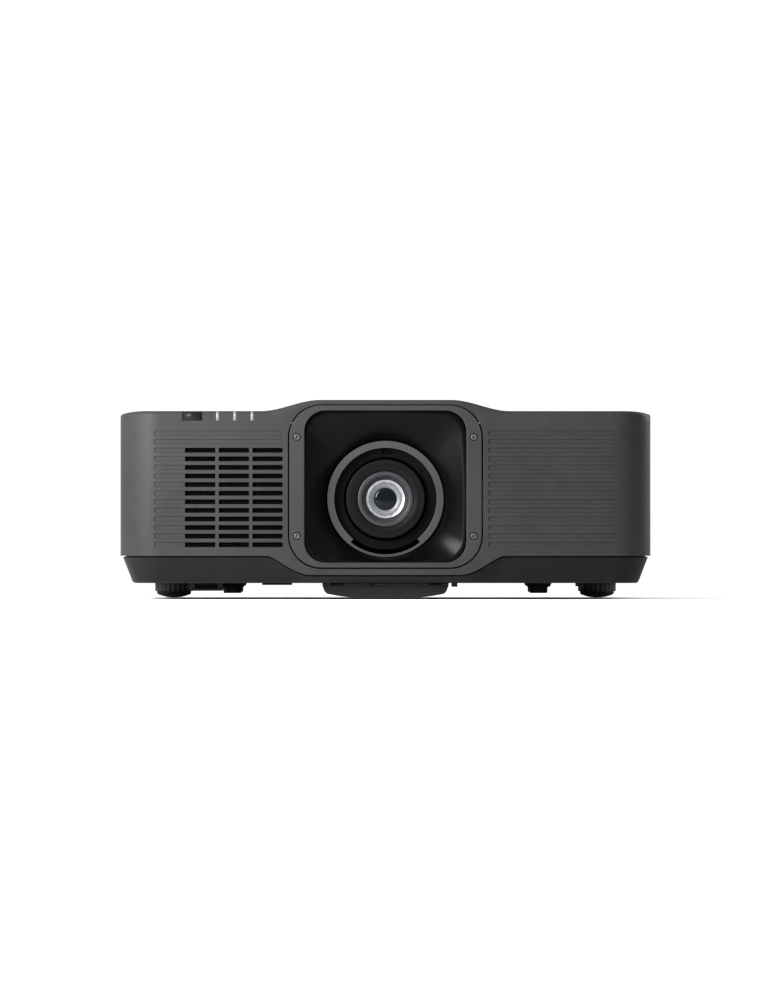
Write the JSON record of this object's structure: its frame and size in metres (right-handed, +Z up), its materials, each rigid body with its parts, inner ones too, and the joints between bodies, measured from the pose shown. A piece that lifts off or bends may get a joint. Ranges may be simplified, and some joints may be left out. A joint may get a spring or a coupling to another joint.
{
  "type": "video projector",
  "caption": "Low wide charcoal projector with a central recessed interchangeable lens, intake grille, drop foot and levelling feet.",
  "frame": {"origin": "on the floor under the middle of the case's width and depth", "axes": "+X across the case to the right seen from the front, +Z up, the lens looks along -Y"},
  "size_m": [0.53, 0.44, 0.1992],
  "materials": {
    "case_plastic": "fine textured charcoal",
    "tub_plastic": "matt near-black",
    "gloss_black": "glossy black",
    "black_metal": "black anodised",
    "dark_plastic": "matt black",
    "steel": "plated sheet",
    "bright_aluminium": "bare turned",
    "lens_glass": "coated optical glass",
    "light_guide": "translucent pale grey",
    "board": "green solder mask",
    "screen_mesh": "black open foam",
    "rubber": "black rubber"
  },
  "bodies": {
    "housing": {"top_cover": "case_plastic", "front_cover": "case_plastic", "left_side_cover": "case_plastic", "right_side_cover": "case_plastic", "rear_panel": "case_plastic", "bottom_case": "tub_plastic", "lens_bezel": "case_plastic", "bezel_screw_1": "black_metal", "bezel_screw_2": "black_metal", "bezel_screw_3": "black_metal", "bezel_screw_4": "black_metal", "lens_funnel": "gloss_black", "lens_collar": "case_plastic", "remote_window": "gloss_black", "status_light_guide": "light_guide", "vent_screen": "screen_mesh", "intake_fan_frame": "dark_plastic", "exhaust_fan_frame": "dark_plastic", "security_bar": "steel", "service_door": "tub_plastic", "foot_guide": "dark_plastic", "base_plate": "steel", "light_engine_housing": "black_metal", "laser_module": "bright_aluminium", "heat_sink": "bright_aluminium", "wheel_motor": "steel", "main_board": "board", "power_supply": "board", "io_plate": "black_metal", "connector_block": "dark_plastic", "ac_inlet": "dark_plastic", "lens_shift_base": "black_metal"},
    "vertical_carriage": {"vertical_carriage": "steel"},
    "horizontal_carriage": {"horizontal_carriage": "black_metal", "lens_barrel": "black_metal"},
    "focus_group": {"focus_barrel": "black_metal", "silver_ring": "bright_aluminium", "front_lens_element": "lens_glass"},
    "zoom_ring": {"zoom_ring": "dark_plastic"},
    "zoom_cell": {"zoom_cell": "black_metal"},
    "intake_fan_rotor": {"intake_fan_rotor": "dark_plastic"},
    "exhaust_fan_rotor": {"exhaust_fan_rotor": "dark_plastic"},
    "phosphor_wheel": {"phosphor_wheel": "bright_aluminium"},
    "front_foot": {"front_foot": "dark_plastic"},
    "foot_release_button": {"foot_release_button": "tub_plastic"},
    "left_foot_pad": {"left_foot_pad": "rubber"},
    "left_foot_knob": {"left_foot_knob": "tub_plastic"},
    "right_foot_pad": {"right_foot_pad": "rubber"},
    "right_foot_knob": {"right_foot_knob": "tub_plastic"},
    "filter_drawer": {"filter_drawer": "case_plastic", "filter_media": "screen_mesh"},
    "power_rocker": {"power_rocker": "dark_plastic"},
    "power_key": {"power_key": "dark_plastic"},
    "source_key": {"source_key": "dark_plastic"},
    "menu_key": {"menu_key": "dark_plastic"},
    "enter_key": {"enter_key": "dark_plastic"},
    "up_key": {"up_key": "dark_plastic"},
    "down_key": {"down_key": "dark_plastic"},
    "left_key": {"left_key": "dark_plastic"},
    "right_key": {"right_key": "dark_plastic"}
  },
  "joints": [
    {"name": "lens_shift_vertical", "type": "slide", "parent": "housing", "child": "vertical_carriage", "axis": [0, 0, 1], "range_m": [-0.005, 0.005]},
    {"name": "lens_shift_horizontal", "type": "slide", "parent": "vertical_carriage", "child": "horizontal_carriage", "axis": [1, 0, 0], "range_m": [-0.003, 0.003]},
    {"name": "lens_focus", "type": "slide", "parent": "horizontal_carriage", "child": "focus_group", "axis": [0, -1, 0], "range_m": [-0.003, 0.003]},
    {"name": "zoom_ring_turn", "type": "hinge", "parent": "horizontal_carriage", "child": "zoom_ring", "pos_m": [0, -0.1237, 0.1003], "axis": [0, -1, 0], "range_deg": [-20, 20]},
    {"name": "zoom_cell_slide", "type": "slide", "parent": "horizontal_carriage", "child": "zoom_cell", "axis": [0, -1, 0], "range_m": [-0.0017, 0.0017]},
    {"name": "intake_fan_spin", "type": "hinge", "parent": "housing", "child": "intake_fan_rotor", "pos_m": [-0.1513, -0.2032, 0.10185], "axis": [0, 1, 0], "continuous": true},
    {"name": "exhaust_fan_spin", "type": "hinge", "parent": "housing", "child": "exhaust_fan_rotor", "pos_m": [0.2492, 0.106, 0.096], "axis": [1, 0, 0], "continuous": true},
    {"name": "phosphor_wheel_spin", "type": "hinge", "parent": "housing", "child": "phosphor_wheel", "pos_m": [0.115, -0.062, 0.1003], "axis": [0, 1, 0], "continuous": true},
    {"name": "front_foot_drop", "type": "slide", "parent": "housing", "child": "front_foot", "axis": [0, 0, -1], "range_m": [0, 0.025]},
    {"name": "foot_release_press", "type": "slide", "parent": "housing", "child": "foot_release_button", "axis": [0, 0, 1], "range_m": [0, 0.002], "stiffness_N_per_m": 400},
    {"name": "left_foot_lift", "type": "slide", "parent": "housing", "child": "left_foot_pad", "axis": [0, 0, -1], "range_m": [0, 0.01]},
    {"name": "left_foot_turn", "type": "hinge", "parent": "left_foot_pad", "child": "left_foot_knob", "pos_m": [-0.2155, 0.17, 0.01], "axis": [0, 0, -1], "range_deg": [0, 1801]},
    {"name": "right_foot_lift", "type": "slide", "parent": "housing", "child": "right_foot_pad", "axis": [0, 0, -1], "range_m": [0, 0.01]},
    {"name": "right_foot_turn", "type": "hinge", "parent": "right_foot_pad", "child": "right_foot_knob", "pos_m": [0.2155, 0.17, 0.01], "axis": [0, 0, -1], "range_deg": [0, 1801]},
    {"name": "filter_drawer_slide", "type": "slide", "parent": "housing", "child": "filter_drawer", "axis": [-1, 0, 0], "range_m": [0, 0.03]},
    {"name": "power_rocker_tilt", "type": "hinge", "parent": "housing", "child": "power_rocker", "pos_m": [0.1825, 0.215, 0.066], "axis": [-1, 0, 0], "range_deg": [0, 12]},
    {"name": "power_key_press", "type": "slide", "parent": "housing", "child": "power_key", "axis": [0, 0, -1], "range_m": [0, 0.0008], "stiffness_N_per_m": 400},
    {"name": "source_key_press", "type": "slide", "parent": "housing", "child": "source_key", "axis": [0, 0, -1], "range_m": [0, 0.0008], "stiffness_N_per_m": 400},
    {"name": "menu_key_press", "type": "slide", "parent": "housing", "child": "menu_key", "axis": [0, 0, -1], "range_m": [0, 0.0008], "stiffness_N_per_m": 400},
    {"name": "enter_key_press", "type": "slide", "parent": "housing", "child": "enter_key", "axis": [0, 0, -1], "range_m": [0, 0.0008], "stiffness_N_per_m": 400},
    {"name": "up_key_press", "type": "slide", "parent": "housing", "child": "up_key", "axis": [0, 0, -1], "range_m": [0, 0.0008], "stiffness_N_per_m": 400},
    {"name": "down_key_press", "type": "slide", "parent": "housing", "child": "down_key", "axis": [0, 0, -1], "range_m": [0, 0.0008], "stiffness_N_per_m": 400},
    {"name": "left_key_press", "type": "slide", "parent": "housing", "child": "left_key", "axis": [0, 0, -1], "range_m": [0, 0.0008], "stiffness_N_per_m": 400},
    {"name": "right_key_press", "type": "slide", "parent": "housing", "child": "right_key", "axis": [0, 0, -1], "range_m": [0, 0.0008], "stiffness_N_per_m": 400}
  ],
  "couplings": [
    {"joint": "zoom_ring_turn", "follows": "zoom_cell_slide", "rad_per_m": 200},
    {"joint": "left_foot_turn", "follows": "left_foot_lift", "rad_per_m": 3141.6},
    {"joint": "right_foot_turn", "follows": "right_foot_lift", "rad_per_m": 3141.6}
  ]
}
